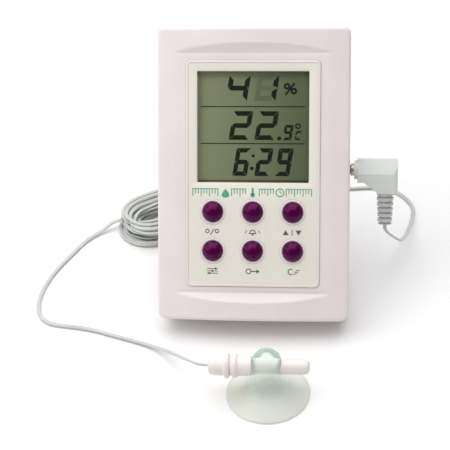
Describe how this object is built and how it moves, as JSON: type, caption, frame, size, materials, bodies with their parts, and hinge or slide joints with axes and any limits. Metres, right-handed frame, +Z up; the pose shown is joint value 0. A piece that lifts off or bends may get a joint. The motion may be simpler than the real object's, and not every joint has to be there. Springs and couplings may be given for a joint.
{
  "type": "maximum minimum thermometer",
  "caption": "Digital maximum and minimum thermometer, hygrometer and clock on a fold-out stand, with a probe on a long lead and a clear suction cup.",
  "frame": {"origin": "at table height, under the middle of the leaning case and its stand, without the lead and what is on it", "axes": "+Z up, +X to the right as the display is read, -Y towards the reader"},
  "size_m": [0.1493, 0.1348, 0.1001],
  "materials": {
    "case_plastic": "satin moulded ABS, pinkish white",
    "fascia": "smooth printed panel, cream",
    "clear_window": "clear polished",
    "display": "liquid crystal display, olive grey",
    "reflector": "satin film",
    "white_plastic": "moulded",
    "elastomer": "matt",
    "board": "green solder mask",
    "epoxy": "black epoxy",
    "metal_can": "bright",
    "brass": "satin",
    "black_plastic": "moulded",
    "silicone": "matt silicone",
    "button_purple": "satin domed",
    "battery_wrap": "plain printed sleeve",
    "spring_steel": "bright",
    "screw_steel": "bright",
    "plug_nickel": "polished",
    "plug_grey": "satin light grey",
    "relief_grey": "satin grey flexible",
    "cord_grey": "satin light grey sheath",
    "tie_white": "satin",
    "probe_plastic": "satin, pinkish white",
    "clear_rubber": "clear soft vinyl, faint green"
  },
  "bodies": {
    "housing": {"front_case": "case_plastic", "rear_cover": "case_plastic", "fascia_panel": "fascia", "lcd_window": "clear_window", "lcd_glass": "display", "lcd_reflector": "reflector", "lcd_carrier": "white_plastic", "zebra_strip": "elastomer", "circuit_board": "board", "ic_epoxy": "epoxy", "clock_crystal": "metal_can", "buzzer": "brass", "humidity_sensor": "white_plastic", "room_thermistor": "epoxy", "jack_socket": "black_plastic", "keypad_membrane": "silicone", "battery": "battery_wrap", "contact_spring": "spring_steel", "contact_plate": "spring_steel", "cord_plug_side": "cord_grey", "cord_hank": "cord_grey", "cord_probe_side": "cord_grey", "hank_tie": "tie_white", "probe_cap": "probe_plastic", "probe_tube": "probe_plastic", "probe_thermistor": "epoxy", "case_screw_1": "screw_steel", "board_screw_1": "screw_steel", "case_screw_2": "screw_steel", "board_screw_2": "screw_steel", "case_screw_3": "screw_steel", "board_screw_3": "screw_steel", "case_screw_4": "screw_steel", "board_screw_4": "screw_steel"},
    "battery_door": {"battery_door": "case_plastic"},
    "stand": {"stand": "case_plastic"},
    "plug": {"plug_sleeve": "plug_nickel", "plug_insulator": "black_plastic", "plug_tip": "plug_nickel", "plug_body": "plug_grey", "plug_strain_relief": "relief_grey"},
    "suction_cup": {"suction_cup": "clear_rubber"},
    "button_1": {"button_1": "button_purple"},
    "button_2": {"button_2": "button_purple"},
    "button_3": {"button_3": "button_purple"},
    "button_4": {"button_4": "button_purple"},
    "button_5": {"button_5": "button_purple"},
    "button_6": {"button_6": "button_purple"}
  },
  "joints": [
    {"name": "button_1_press", "type": "slide", "parent": "housing", "child": "button_1", "axis": [0, 0.8192, -0.5736], "range_m": [0, 0.001], "stiffness_N_per_m": 600, "springref_m": -0.0004},
    {"name": "button_2_press", "type": "slide", "parent": "housing", "child": "button_2", "axis": [0, 0.8192, -0.5736], "range_m": [0, 0.001], "stiffness_N_per_m": 600, "springref_m": -0.0004},
    {"name": "button_3_press", "type": "slide", "parent": "housing", "child": "button_3", "axis": [0, 0.8192, -0.5736], "range_m": [0, 0.001], "stiffness_N_per_m": 600, "springref_m": -0.0004},
    {"name": "button_4_press", "type": "slide", "parent": "housing", "child": "button_4", "axis": [0, 0.8192, -0.5736], "range_m": [0, 0.001], "stiffness_N_per_m": 600, "springref_m": -0.0004},
    {"name": "button_5_press", "type": "slide", "parent": "housing", "child": "button_5", "axis": [0, 0.8192, -0.5736], "range_m": [0, 0.001], "stiffness_N_per_m": 600, "springref_m": -0.0004},
    {"name": "button_6_press", "type": "slide", "parent": "housing", "child": "button_6", "axis": [0, 0.8192, -0.5736], "range_m": [0, 0.001], "stiffness_N_per_m": 600, "springref_m": -0.0004},
    {"name": "stand_fold", "type": "hinge", "parent": "housing", "child": "stand", "pos_m": [0, 0.01052, 0.05103], "axis": [-1, 0, 0], "range_deg": [0, 63]},
    {"name": "battery_door_swing", "type": "hinge", "parent": "housing", "child": "battery_door", "pos_m": [0, 0.03172, 0.07782], "axis": [-1, 0, 0], "range_deg": [0, 75]},
    {"name": "plug_pull", "type": "slide", "parent": "housing", "child": "plug", "axis": [1, 0, 0], "range_m": [0, 0.0145]},
    {"name": "suction_cup_slide", "type": "slide", "parent": "housing", "child": "suction_cup", "axis": [1, 0, 0], "range_m": [0, 0.022]}
  ]
}
